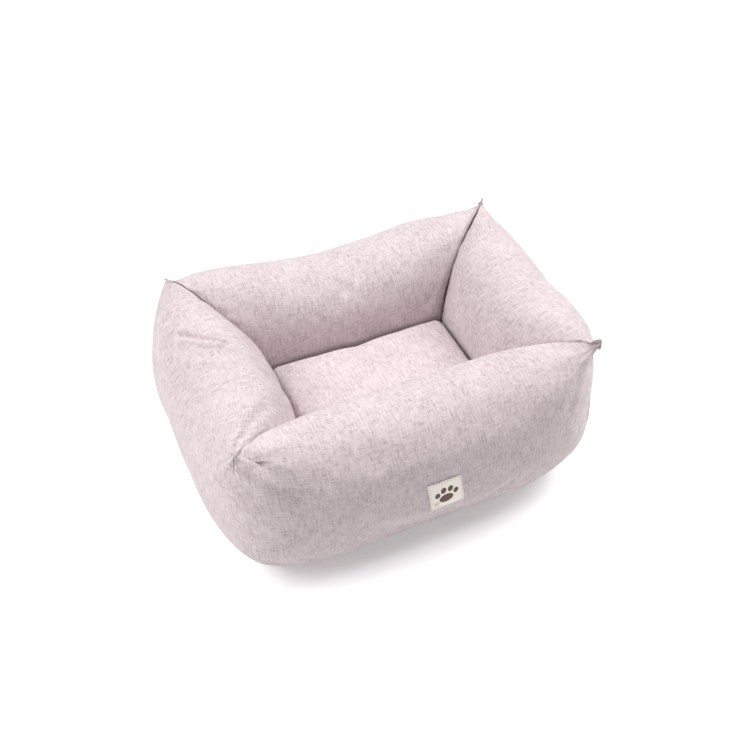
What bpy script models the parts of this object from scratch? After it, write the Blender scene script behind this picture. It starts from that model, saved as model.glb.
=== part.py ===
"""Small rectangular pet bed: four padded walls sewn together at mitred corners,
a padded base between them, and a loose cushion with a zipped cover.

Metres, +Z up. X runs along the long walls, the front wall faces -Y, and the origin is
under the middle of the bed on the surface that it stands on.
"""
import math

import bmesh
import bpy
from mathutils import Vector

# ---- driving dimensions, metres -------------------------------------------------------
TIP_LENGTH = 0.465          # between the corner tips, along X
TIP_DEPTH = 0.343           # between the corner tips, along Y
TIP_HEIGHT = 0.238          # the corner tips above the floor
RIDGE_HEIGHT = 0.218        # the crown at the middle of each wall

BULGE = 0.042               # the outer face stands this far outside the tips
OUTER_BELLY = 0.110         # height at which the outer face is widest
INNER_BELLY = 0.120         # height at which the inner face is widest
WALL_INSET = 0.098          # the inner face is this far inside the tips
CROWN_INSET = 0.022         # the crown is this far inside the tips
FOOT_INSET = 0.032          # the middle of the wall's underside, inside the tips
CORNER_INSET = 0.004        # the rounded outer corner is this far inside the tips
CORNER_REACH = 0.100        # length over which a wall changes from corner to full section

OUTER_CROWN_POWER = 2.6     # superellipse powers: 2 is round, higher is squarer
INNER_CROWN_POWER = 2.0
MITRE_POWER = 1.5
OUTER_FOOT_POWER = 1.8
INNER_FOOT_POWER = 3.6

CLEAR = 0.0003              # gap between pieces that touch
COVER = 0.0025              # a wall's cloth with the wadding quilted to its back
EAR_RISE = 0.004            # the sewn ear stands this far above the cloth of the corner
EAR_OUT = 0.004             # and this far outside it
EAR_DEPTH = 0.012           # the padding stops this far short of the ear
SEAM_THICK = 0.0016         # two turned-in seam allowances, pressed flat
SEAM_DEPTH = 0.008          # width of the seam allowance

FLOOR_THICK = 0.002         # the non-slip underside
FLOOR_INSET = 0.024         # its edge, inside the tips
FLOOR_RADIUS = 0.050
PAD_THICK = 0.034           # the base wadding between the walls
DECK_THICK = 0.0012         # the lining cloth that the cushion lies on
WELL_RADIUS = 0.006

CUSHION_GAP = 0.001         # around the cushion, to the walls
CUSHION_RADIUS = 0.014      # its corners, seen from above
CUSHION_LOWER = 0.040       # from its underside to its edge seam
CUSHION_UPPER = 0.052       # from the edge seam to the top
CUSHION_CROWN = 0.004       # the middle of the top stands this far above the rest
CUSHION_ROUND = 0.020       # width of the rounded upper edge
CUSHION_UNDER_ROUND = 0.026
CUSHION_CLOTH = 0.0020
CUSHION_FILL_GAP = 0.0010
CUSHION_TOP_POWER = 2.2
CUSHION_UNDER_POWER = 2.6

ZIP_LENGTH = 0.170
ZIP_Y = 0.020               # the zip runs along X, this far behind the middle
TAPE_WIDTH = 0.013
TAPE_THICK = 0.0008
SLIT = 0.0012               # between the two tapes and between the two coils
COIL_WIDTH = 0.0022
COIL_HEIGHT = 0.0018
COIL_PITCH = 0.0030
STOP_LENGTH = 0.0030
STOP_WIDTH = 0.0056
SLIDER_LENGTH = 0.009
SLIDER_WIDTH = 0.008
SLIDER_PLATE = 0.0012
SLIDER_POST = 0.0006
ZIP_OPENING = 0.012         # width of the opening in the cushion's underside

LABEL_X = -0.002            # middle of the label along the front wall
LABEL_WIDTH = 0.046
LABEL_LOW = 0.088           # its lower and upper edges above the floor
LABEL_HIGH = 0.140
LABEL_THICK = 0.0008
STITCH_INSET = 0.0022       # the stitching runs this far inside the label's edge
STITCH_WIDTH = 0.0009
STITCH_THICK = 0.0004

SECTION_STEPS = 7           # facets in each quarter of a wall's section
WALL_STATIONS = (0.0, 0.10, 0.24, 0.42, 0.66, 1.0)   # shares of CORNER_REACH

# ---- heights and sizes that follow ------------------------------------------------------
WALL_FLOOR = FLOOR_THICK + CLEAR
PAD_TOP = WALL_FLOOR + PAD_THICK
DECK_TOP = PAD_TOP + CLEAR + DECK_THICK
CUSHION_BOTTOM = DECK_TOP + CLEAR
CUSHION_SEAM = CUSHION_BOTTOM + CUSHION_LOWER
CUSHION_HALF_X = TIP_LENGTH / 2 - WALL_INSET - CUSHION_GAP
CUSHION_HALF_Y = TIP_DEPTH / 2 - WALL_INSET - CUSHION_GAP
TAPE_BOTTOM = CUSHION_BOTTOM + CUSHION_CLOTH + CLEAR
COIL_BOTTOM = TAPE_BOTTOM + TAPE_THICK + CLEAR
SLIDER_TOP = COIL_BOTTOM + COIL_HEIGHT + CLEAR + SLIDER_PLATE
SLIDER_REST = ZIP_LENGTH / 2 - STOP_LENGTH - CLEAR - SLIDER_LENGTH / 2
END_GAP = SEAM_THICK / 2 + CLEAR     # from a mitre plane to the end of a wall

WALLS = {
    "front": (TIP_LENGTH, Vector((0, -TIP_DEPTH / 2, 0)), 0),
    "right": (TIP_DEPTH, Vector((TIP_LENGTH / 2, 0, 0)), 90),
    "back": (TIP_LENGTH, Vector((0, TIP_DEPTH / 2, 0)), 180),
    "left": (TIP_DEPTH, Vector((-TIP_LENGTH / 2, 0, 0)), 270),
}
CORNERS = {
    "front_left": (-1, -1, 45),
    "front_right": (1, -1, 135),
    "back_right": (1, 1, 225),
    "back_left": (-1, 1, 315),
}


# ---- scene, materials and objects -------------------------------------------------------
def clear_scene():
    for obj in list(bpy.data.objects):
        bpy.data.objects.remove(obj, do_unlink=True)


def make_collection(name):
    collection = bpy.data.collections.new(name)
    bpy.context.scene.collection.children.link(collection)
    return collection


def make_material(name, colour, roughness, metallic=0.0):
    material = bpy.data.materials.new(name)
    material.use_nodes = True
    shader = material.node_tree.nodes["Principled BSDF"]
    shader.inputs["Base Color"].default_value = (*colour, 1.0)
    shader.inputs["Roughness"].default_value = roughness
    shader.inputs["Metallic"].default_value = metallic
    return material


def add_object(name, data, collection, material=None):
    obj = bpy.data.objects.new(name, data)
    collection.objects.link(obj)
    if material is not None:
        data.materials.append(material)
    return obj


def mesh_from(bm, name):
    """Close the bmesh into a mesh whose faces point outwards."""
    bmesh.ops.recalc_face_normals(bm, faces=bm.faces)
    mesh = bpy.data.meshes.new(name)
    bm.to_mesh(mesh)
    bm.free()
    return mesh


def box(name, low, high, collection, material=None, bevel=0.0):
    """A box between two corners, with its upright edges rounded if asked."""
    low, high = Vector(low), Vector(high)
    bm = bmesh.new()
    bmesh.ops.create_cube(bm, size=1.0)
    bmesh.ops.scale(bm, vec=high - low, verts=bm.verts)
    if bevel:
        upright = [e for e in bm.edges if abs(e.verts[0].co.z - e.verts[1].co.z) > 1e-6]
        bmesh.ops.bevel(bm, geom=upright, offset=bevel, segments=5, profile=0.5, affect="EDGES")
    obj = add_object(name, mesh_from(bm, name), collection, material)
    obj.location = (low + high) / 2
    return obj


def loft(name, rings, cyclic=False, caps=(True, True), turn_back=None):
    """Triangles between rings of points that match one to one; cyclic joins last to first.

    From the ring numbered turn_back on, the rings run back along the first ones, and the
    diagonals are swapped, so that the inner and the outer surface bend along the same lines.
    """
    bm = bmesh.new()
    loops = [[bm.verts.new(point) for point in ring] for ring in rings]
    pairs = list(zip(loops, loops[1:]))
    if cyclic:
        pairs.append((loops[-1], loops[0]))
    for band, (first, second) in enumerate(pairs):
        count = len(first)
        for i in range(count):
            j = (i + 1) % count
            a, b, c, d = first[i], first[j], second[j], second[i]
            if turn_back is not None and band >= turn_back:
                a, b, c, d = b, c, d, a
            bm.faces.new((a, b, c))
            bm.faces.new((a, c, d))
    if not cyclic:
        if caps[0]:
            bm.faces.new(list(reversed(loops[0])))
        if caps[1]:
            bm.faces.new(loops[-1])
    return mesh_from(bm, name)


def cut(obj, cutter):
    modifier = obj.modifiers.new("opening", "BOOLEAN")
    modifier.operation = "DIFFERENCE"
    modifier.object = cutter
    cutter.hide_render = True
    cutter.display_type = "WIRE"


# ---- wall sections -----------------------------------------------------------------------
def mix(a, b, share):
    return a + (b - a) * share


def quarter(side, top, power, share):
    """A point on a superellipse quarter: share 0 is at side, 1 is at top."""
    angle = share * math.pi / 2
    across = 1 - math.cos(angle) ** (2 / power)
    along = math.sin(angle) ** (2 / power)
    return (mix(side[0], top[0], across), mix(side[1], top[1], along))


def section_points(pull, skin=0.0, ear=0.0):
    """The four extremes of a wall's section, each as (inset from the tips, height).

    pull is 0 at the middle of a wall and 1 in the mitre plane, skin moves the section
    inwards, and ear is how much of the sewn ear stands beyond the corner of the cloth.
    """
    stop = EAR_DEPTH if skin > 0 else 0.0
    tip_inset = stop + skin - ear * EAR_OUT
    tip_height = TIP_HEIGHT - EAR_RISE * (1 - ear) - 1.3 * stop - skin
    outer = (mix(-BULGE, CORNER_INSET, pull) + skin, OUTER_BELLY)
    crown = (mix(CROWN_INSET, tip_inset, pull), mix(RIDGE_HEIGHT - skin, tip_height, pull))
    inner = (WALL_INSET - skin, INNER_BELLY)
    foot = (FOOT_INSET, WALL_FLOOR + skin)
    return outer, crown, inner, foot


def wall_section(pull, skin=0.0, ear=0.0):
    """The closed section as (inset, height) points: outer belly, crown, inner belly, foot."""
    outer, crown, inner, foot = section_points(pull, skin, ear)
    over_power = mix(INNER_CROWN_POWER, MITRE_POWER, pull)
    steps = SECTION_STEPS
    up = [quarter(outer, crown, OUTER_CROWN_POWER, i / steps) for i in range(steps)]
    over = [quarter(inner, crown, over_power, 1 - i / steps) for i in range(steps)]
    down = [quarter(inner, foot, INNER_FOOT_POWER, i / steps) for i in range(steps)]
    back = [quarter(outer, foot, OUTER_FOOT_POWER, 1 - i / steps) for i in range(steps)]
    return up + over + down + back


def wall_pull(distance):
    """How far the corner pulls the section, at a distance from the mitre along the wall."""
    return max(0.0, 1 - distance / CORNER_REACH) ** 2


def wall_rings(length, skin):
    """Rings along a wall, from its left mitre to its right one, in the wall's own axes."""
    half = length / 2
    reach = min(CORNER_REACH, half)
    distances = [share * reach for share in WALL_STATIONS]
    shares = [1 - distance / half for distance in distances]
    stations = [-share for share in shares]
    if stations[-1] < -1e-6:
        stations.append(0.0)
    else:
        shares = shares[:-1]
    stations += list(reversed(shares))
    rings = []
    for station in stations:
        ring = []
        for inset, height in wall_section(wall_pull((1 - abs(station)) * half), skin):
            along = station * (half - inset - END_GAP * math.sqrt(2))
            ring.append((along, inset, height))
        rings.append(ring)
    return rings


def make_wall(side, collection, cloth, wadding):
    """A wall's cloth, a tube open at both mitres, and the wadding inside it."""
    length, place, turn = WALLS[side]
    outside = wall_rings(length, 0.0)
    inside = wall_rings(length, COVER)
    shell = loft(side + "_wall_cover", outside + list(reversed(inside)), cyclic=True,
                 turn_back=len(outside))
    fill = loft(side + "_wall_fill", wall_rings(length, COVER + CLEAR))
    for mesh, material in ((shell, cloth), (fill, wadding)):
        obj = add_object(mesh.name, mesh, collection, material)
        obj.location = place
        obj.rotation_euler.z = math.radians(turn)


def make_corner_seam(corner, collection, material):
    """The seam allowance of one mitre: a flat ring in the mitre plane, with its ear."""
    side_x, side_y, turn = CORNERS[corner]
    outline = wall_section(1.0, 0.0, ear=1.0)
    hole = wall_section(1.0, SEAM_DEPTH)
    rings = []
    for points, side in ((outline, -1), (outline, 1), (hole, 1), (hole, -1)):
        face = side * SEAM_THICK / 2
        rings.append([(inset * math.sqrt(2), face, height) for inset, height in points])
    name = corner + "_corner_seam"
    obj = add_object(name, loft(name, rings, cyclic=True), collection, material)
    obj.location = (side_x * TIP_LENGTH / 2, side_y * TIP_DEPTH / 2, 0)
    obj.rotation_euler.z = math.radians(turn)


# ---- base ----------------------------------------------------------------------------------
def make_base(collection, underside, wadding, lining):
    """The non-slip underside, the wadding between the walls and the lining over it."""
    floor_x = TIP_LENGTH / 2 - FLOOR_INSET
    floor_y = TIP_DEPTH / 2 - FLOOR_INSET
    box("bottom_panel", (-floor_x, -floor_y, 0), (floor_x, floor_y, FLOOR_THICK),
        collection, underside, FLOOR_RADIUS)
    well_x = TIP_LENGTH / 2 - WALL_INSET - CLEAR
    well_y = TIP_DEPTH / 2 - WALL_INSET - CLEAR
    box("base_pad", (-well_x, -well_y, WALL_FLOOR), (well_x, well_y, PAD_TOP),
        collection, wadding, WELL_RADIUS)
    box("deck_panel", (-well_x, -well_y, PAD_TOP + CLEAR), (well_x, well_y, DECK_TOP),
        collection, lining, WELL_RADIUS)


# ---- label ---------------------------------------------------------------------------------
def front_face(height, proud):
    """The front wall's outer face at mid-wall: its Y at a height, plus a stand-off."""
    outer, crown, _, foot = section_points(0.0)
    if height >= outer[1]:
        end, power = crown, OUTER_CROWN_POWER
    else:
        end, power = foot, OUTER_FOOT_POWER
    share = (height - outer[1]) / (end[1] - outer[1])
    across = 1 - (1 - share ** power) ** (1 / power)
    return -TIP_DEPTH / 2 + mix(outer[0], end[0], across) - proud


def patch(name, low, high, left, right, proud, thick, rows=8):
    """A thin patch that follows the front face between two heights."""
    heights = [mix(low, high, i / rows) for i in range(rows + 1)]
    rings = []
    for x in (left, right):
        face = [(x, front_face(z, proud), z) for z in heights]
        outside = [(x, front_face(z, proud + thick), z) for z in heights]
        rings.append(face + list(reversed(outside)))
    return loft(name, rings)


def make_label(collection, weave, thread):
    """The woven label, and the line of stitching around it as one thin frame."""
    left, right = LABEL_X - LABEL_WIDTH / 2, LABEL_X + LABEL_WIDTH / 2
    label = patch("label", LABEL_LOW, LABEL_HIGH, left, right, CLEAR, LABEL_THICK)
    add_object("label", label, collection, weave)

    proud = 2 * CLEAR + LABEL_THICK
    rows = 8
    rings = []
    for layer, thick in ((0, 0.0), (0, STITCH_THICK), (STITCH_WIDTH, STITCH_THICK), (STITCH_WIDTH, 0.0)):
        inset = STITCH_INSET + layer
        x0, x1 = left + inset, right - inset
        z0, z1 = LABEL_LOW + inset, LABEL_HIGH - inset
        rise = [mix(z0, z1, i / rows) for i in range(rows + 1)]
        loop = [(x1, z) for z in rise] + [(x0, z) for z in reversed(rise)]
        rings.append([(x, front_face(z, proud + thick), z) for x, z in loop])
    frame = loft("label_stitching", rings, cyclic=True)
    add_object("label_stitching", frame, collection, thread)


# ---- cushion ---------------------------------------------------------------------------------
def outline(inset, height, shrink=0.0):
    """A rounded rectangle of the cushion's plan, drawn in by an inset, at one height."""
    half_x = CUSHION_HALF_X - shrink - inset
    half_y = CUSHION_HALF_Y - shrink - inset
    radius = max(CUSHION_RADIUS - shrink - 0.5 * inset, 0.004)
    points = []
    for quadrant in range(4):
        sign_x = (1, -1, -1, 1)[quadrant]
        sign_y = (1, 1, -1, -1)[quadrant]
        for step in range(6):
            angle = math.radians(90 * quadrant + 18 * step)
            x = sign_x * (half_x - radius) + radius * math.cos(angle)
            y = sign_y * (half_y - radius) + radius * math.sin(angle)
            points.append((x, y, height))
    return points


def cushion_half(base, rise, width, power, shrink=0.0, crown=0.0):
    """Outlines from the edge seam at a base height up, or down, to a nearly flat middle."""
    steps = 5
    side, top = (0.0, 0.0), (width, 1.0)
    rings = []
    for step in range(steps + 1):
        inset, share = quarter(side, top, power, step / steps)
        rings.append(outline(inset, base + rise * share, shrink))
    if crown:
        rings.append(outline(width + 0.020, base + rise + crown, shrink))
    return rings


def make_cushion(collection, cutters, cloth, wadding):
    """Two cloth panels that meet at the edge seam, and the filling between them."""
    panels = {}
    for name, base, rise, width, power, crown in (
            ("cushion_top_panel", CUSHION_SEAM + CLEAR / 2, CUSHION_UPPER,
             CUSHION_ROUND, CUSHION_TOP_POWER, CUSHION_CROWN),
            ("cushion_bottom_panel", CUSHION_SEAM - CLEAR / 2, CLEAR / 2 - CUSHION_LOWER,
             CUSHION_UNDER_ROUND, CUSHION_UNDER_POWER, 0.0)):
        cloth_rise = rise - math.copysign(CUSHION_CLOTH, rise)
        outside = cushion_half(base, rise, width, power, 0.0, crown)
        inside = cushion_half(base, cloth_rise, width - CUSHION_CLOTH, power, CUSHION_CLOTH, crown)
        shell = loft(name, list(reversed(outside)) + inside, turn_back=len(outside))
        panels[name] = add_object(name, shell, collection, cloth)

    shrink = CUSHION_CLOTH + CUSHION_FILL_GAP
    upper = cushion_half(CUSHION_SEAM, CUSHION_UPPER - shrink, CUSHION_ROUND - shrink,
                         CUSHION_TOP_POWER, shrink, CUSHION_CROWN)
    lower = cushion_half(CUSHION_SEAM, shrink - CUSHION_LOWER, CUSHION_UNDER_ROUND - shrink,
                         CUSHION_UNDER_POWER, shrink)
    rings = list(reversed(lower)) + upper[1:]
    fill = add_object("cushion_fill", loft("cushion_fill", rings), collection, wadding)

    half = ZIP_LENGTH / 2
    opening = box("zip_opening", (CLEAR * 2 - half, ZIP_Y - ZIP_OPENING / 2, 0),
                  (half - CLEAR * 2, ZIP_Y + ZIP_OPENING / 2, TAPE_BOTTOM), cutters)
    cut(panels["cushion_bottom_panel"], opening)
    side = SLIT / 2 + TAPE_WIDTH + 2 * CLEAR
    recess = box("zip_recess", (-half - CLEAR, ZIP_Y - side, 0),
                 (half + CLEAR, ZIP_Y + side, SLIDER_TOP + CLEAR), cutters)
    cut(fill, recess)


# ---- zip ---------------------------------------------------------------------------------------
def comb(name, rows, side, collection, material):
    """One coil: a flat toothed outline along X, given its height by an extrude."""
    inner = ZIP_Y + side * SLIT / 2
    outer = ZIP_Y + side * (SLIT / 2 + COIL_WIDTH)
    root = mix(inner, outer, 0.45)
    start = CLEAR + STOP_LENGTH - ZIP_LENGTH / 2
    points = []
    for row in range(rows):
        x = start + row * COIL_PITCH
        points += [(x, inner), (x + COIL_PITCH * 0.5, inner)]
        points += [(x + COIL_PITCH * 0.5, root), (x + COIL_PITCH, root)]
    points = points[:-2]
    points += [(points[-1][0], outer), (start, outer)]
    bottom = [(x, y, COIL_BOTTOM) for x, y in points]
    top = [(x, y, COIL_BOTTOM + COIL_HEIGHT) for x, y in points]
    add_object(name, loft(name, (bottom, top)), collection, material)


def make_zip(collection, tape_cloth, plastic, metal):
    """Two tapes with their coils, a stop at each end, and the slider on its own empty."""
    half = ZIP_LENGTH / 2
    rows = int((ZIP_LENGTH - 2 * (STOP_LENGTH + CLEAR)) / COIL_PITCH)
    for label, side in (("front", -1), ("rear", 1)):
        near = ZIP_Y + side * SLIT / 2
        far = ZIP_Y + side * (SLIT / 2 + TAPE_WIDTH)
        box("zip_tape_" + label, (-half, min(near, far), TAPE_BOTTOM),
            (half, max(near, far), TAPE_BOTTOM + TAPE_THICK), collection, tape_cloth)
        comb("zip_coil_" + label, rows, side, collection, plastic)
    for label, side in (("open", -1), ("closed", 1)):
        outer = side * half
        inner = side * (half - STOP_LENGTH)
        box("zip_stop_" + label, (min(inner, outer), ZIP_Y - STOP_WIDTH / 2, COIL_BOTTOM),
            (max(inner, outer), ZIP_Y + STOP_WIDTH / 2, COIL_BOTTOM + COIL_HEIGHT), collection, metal)

    guide = bpy.data.objects.new("zip_slider_guide", None)
    collection.objects.link(guide)
    guide.location = (SLIDER_REST, ZIP_Y, TAPE_BOTTOM)
    wide, post = SLIDER_WIDTH / 2, SLIDER_POST / 2
    low = -CLEAR - SLIDER_PLATE
    high = SLIDER_TOP - TAPE_BOTTOM
    profile = [(-wide, low), (wide, low), (wide, -CLEAR), (post, -CLEAR),
               (post, high - SLIDER_PLATE), (wide, high - SLIDER_PLATE), (wide, high),
               (-wide, high), (-wide, high - SLIDER_PLATE), (-post, high - SLIDER_PLATE),
               (-post, -CLEAR), (-wide, -CLEAR)]
    rings = [[(x, y, z) for y, z in profile] for x in (-SLIDER_LENGTH / 2, SLIDER_LENGTH / 2)]
    slider = add_object("zip_slider", loft("zip_slider", rings), collection, metal)
    slider.parent = guide


# ---- build ----------------------------------------------------------------------------------------
def shade_round_pieces(collection):
    for obj in collection.objects:
        if obj.type == "MESH":
            obj.data.shade_smooth()
            obj.data.set_sharp_from_angle(angle=math.radians(40))


def main():
    clear_scene()
    parts = make_collection("pet_cushion_bed")
    cutters = make_collection("cutters")

    cloth = make_material("mauve_linen", (0.80, 0.71, 0.74), 0.92)
    seam_cloth = make_material("seam_allowance", (0.42, 0.34, 0.36), 0.95)
    wadding = make_material("white_wadding", (0.92, 0.92, 0.90), 0.98)
    underside = make_material("nonslip_underside", (0.35, 0.33, 0.34), 0.85)
    lining = make_material("grey_lining", (0.62, 0.58, 0.60), 0.92)
    weave = make_material("ivory_woven_label", (0.90, 0.86, 0.80), 0.80)
    thread = make_material("brown_thread", (0.40, 0.34, 0.30), 0.85)
    tape_cloth = make_material("zip_tape", (0.72, 0.64, 0.67), 0.90)
    plastic = make_material("zip_coil_plastic", (0.70, 0.62, 0.65), 0.45)
    metal = make_material("zip_metal", (0.60, 0.60, 0.60), 0.35, 1.0)

    make_base(parts, underside, wadding, lining)
    for side in WALLS:
        make_wall(side, parts, cloth, wadding)
    for corner in CORNERS:
        make_corner_seam(corner, parts, seam_cloth)
    make_label(parts, weave, thread)
    make_cushion(parts, cutters, cloth, wadding)
    make_zip(parts, tape_cloth, plastic, metal)
    shade_round_pieces(parts)


main()
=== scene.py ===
import math

import bmesh
import bpy
import numpy as np
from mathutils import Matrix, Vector
from mathutils.bvhtree import BVHTree


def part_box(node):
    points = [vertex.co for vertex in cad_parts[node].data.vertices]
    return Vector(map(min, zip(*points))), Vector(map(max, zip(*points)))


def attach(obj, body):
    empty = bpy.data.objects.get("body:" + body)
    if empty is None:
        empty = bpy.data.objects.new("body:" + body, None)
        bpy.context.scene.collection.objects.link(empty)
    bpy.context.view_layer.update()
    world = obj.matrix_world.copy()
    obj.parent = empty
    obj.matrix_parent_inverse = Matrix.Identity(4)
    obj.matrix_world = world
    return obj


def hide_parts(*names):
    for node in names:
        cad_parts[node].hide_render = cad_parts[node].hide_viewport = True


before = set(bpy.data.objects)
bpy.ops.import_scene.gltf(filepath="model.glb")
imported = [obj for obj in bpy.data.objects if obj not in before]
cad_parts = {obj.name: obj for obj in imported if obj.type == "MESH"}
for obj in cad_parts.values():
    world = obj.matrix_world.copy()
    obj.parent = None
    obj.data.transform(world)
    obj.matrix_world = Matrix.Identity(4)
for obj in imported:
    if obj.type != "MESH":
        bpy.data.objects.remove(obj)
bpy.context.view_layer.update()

# A small pet bed: four plump walls of mauve linen, mitred at the corners with a small
# sewn ear on each, a padded base, and a loose cushion that closes with a zip below.

# ---- places taken from the frame -------------------------------------------------------
EAR_OUT = 0.0046                       # a seam's ear stands this far outside the tips
seam_low, seam_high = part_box("front_right_corner_seam")
wall_low, wall_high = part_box("front_wall_cover")
TIP_X = seam_high[0] - EAR_OUT
TIP_Y = -seam_low[1] - EAR_OUT
TIP_Z = seam_high[2]
BULGE = -wall_low[1] - TIP_Y           # how far the outer face stands outside the tips
INSET = TIP_Y + wall_high[1]           # how far the inner face lies inside them
FLOOR_Z = wall_low[2]
RIDGE_Z = TIP_Z - 0.018
DECK_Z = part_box("deck_panel")[1][2]
CUSHION_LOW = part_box("cushion_bottom_panel")[0]
CUSHION_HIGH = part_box("cushion_top_panel")[1]
EDGE_SEAM_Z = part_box("cushion_bottom_panel")[1][2]
LABEL_LOW, LABEL_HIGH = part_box("label")

CORNER_NAMES = ("front_left", "front_right", "back_right", "back_left")
CORNER_PLACE = {
    "front_left": np.array([-TIP_X, -TIP_Y]),
    "front_right": np.array([TIP_X, -TIP_Y]),
    "back_right": np.array([TIP_X, TIP_Y]),
    "back_left": np.array([-TIP_X, TIP_Y]),
}
# how far the stuffing pushes each tip along the bed's length and upwards
TIP_SHIFT = {
    "front_left": np.array([-0.011, 0.0, 0.012]),
    "front_right": np.array([-0.009, 0.0, 0.002]),
    "back_right": np.array([0.013, 0.0, -0.006]),
    "back_left": np.array([0.012, 0.0, -0.002]),
}
# each corner's outer face: its inset at belly height, and how far along a wall it is rounded
CORNER_ROUND = {"front_left": (-0.008, 0.120), "front_right": (0.003, 0.140),
                "back_right": (0.003, 0.140), "back_left": (-0.015, 0.102)}
# where inside each tip its seam opens
SEAM_OPENS = {"front_left": 1.0, "front_right": 1.0, "back_right": 1.0, "back_left": 1.14}

OUTER_BELLY_Z = 0.110
INNER_BELLY_Z = 0.126
WAVE_HEIGHT = 0.0010                   # of the inner faces, where they press on the cushion
FOOT_INSET = 0.030
CROWN_REACH = 0.165                    # the crown's line turns out and climbs to a tip over this length
TIP_SLOPE = 0.13                       # and arrives at it this much across the wall per length
OUTER_POWER = 2.8                      # how square the outer shoulder is
TIP_ROUND = 0.070                      # the outer corner's rounding beneath a tip reaches this far
FOOT_ROUND = 0.060
SWELL = 0.0038                         # the outer faces are drawn this far in, because the air fills them out
MITRE_GAP = 0.0002                     # between a wall's end and the mitre plane
GROOVE_DEPTH = 0.0036
GROOVE_REACH = 0.0060
LIP_DEPTH = 0.0020                     # the cloth carries on into the seam this far


def smooth(x, low=0.0, high=1.0):
    """0 below low, 1 above high, and an S-curve between."""
    t = np.clip((x - low) / (high - low), 0.0, 1.0)
    return t * t * (3 - 2 * t)


def bell(x, centre, width):
    return np.exp(-((x - centre) / width) ** 2)


def mix(a, b, share):
    return a + (b - a) * share


# ---- shader nodes ----------------------------------------------------------------------
class Signal:
    """A socket that Python's operators join with Math nodes."""

    def __init__(self, net, socket):
        self.net, self.socket = net, socket

    def __add__(self, other):
        return self.net.math("ADD", self, other)

    def __sub__(self, other):
        return self.net.math("SUBTRACT", self, other)

    def __rsub__(self, other):
        return self.net.math("SUBTRACT", other, self)

    def __mul__(self, other):
        return self.net.math("MULTIPLY", self, other)

    def __truediv__(self, other):
        return self.net.math("DIVIDE", self, other)

    __radd__ = __add__
    __rmul__ = __mul__


class Finish:
    """A material under construction: its node tree, Principled shader and helpers."""

    def __init__(self, name, roughness, metallic=0.0):
        self.material = bpy.data.materials.new(name)
        self.material.use_nodes = True
        self.tree = self.material.node_tree
        self.shader = self.tree.nodes["Principled BSDF"]
        self.shader.inputs["Roughness"].default_value = roughness
        self.shader.inputs["Metallic"].default_value = metallic

    def plug(self, socket, value):
        if isinstance(value, Signal):
            self.tree.links.new(value.socket, socket)
        else:
            socket.default_value = value

    def node(self, kind, settings=None, inputs=None, out=0):
        node = self.tree.nodes.new("ShaderNode" + kind)
        for name, value in (settings or {}).items():
            if name == "stops":
                ramp = node.color_ramp.elements
                while len(ramp) < len(value):
                    ramp.new(0.5)
                for stop, (position, colour) in zip(ramp, value):
                    stop.position, stop.color = position, colour
            else:
                setattr(node, name, value)
        for name, value in (inputs or {}).items():
            self.plug(node.inputs[name], value)
        return Signal(self, node.outputs[out])

    def math(self, operation, a, b=0.0, clamp=False):
        return self.node("Math", {"operation": operation, "use_clamp": clamp}, {0: a, 1: b})

    def mix(self, share, a, b):
        """Mix two colours."""
        node = self.tree.nodes.new("ShaderNodeMix")
        node.data_type = "RGBA"
        self.plug(node.inputs[0], share)
        self.plug(node.inputs[6], a)
        self.plug(node.inputs[7], b)
        return Signal(self, node.outputs[2])

    def scaled(self, vector, scale, shift=(0, 0, 0)):
        return self.node("Mapping", None, {"Vector": vector, "Scale": scale, "Location": shift})

    def noise(self, vector, scale, detail=2.0, roughness=0.5):
        return self.node("TexNoise", None, {"Vector": vector, "Scale": scale, "Detail": detail,
                                            "Roughness": roughness})

    def set(self, name, value):
        self.plug(self.shader.inputs[name], value)

    def bump(self, height, distance, strength=1.0):
        self.set("Normal", self.node("Bump", None, {"Height": height, "Distance": distance,
                                                    "Strength": strength}))


def linear(red, green, blue):
    """An sRGB colour from 0 to 255 as linear values with alpha."""
    return tuple((c / 255) ** 2.2 for c in (red, green, blue)) + (1.0,)


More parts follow.
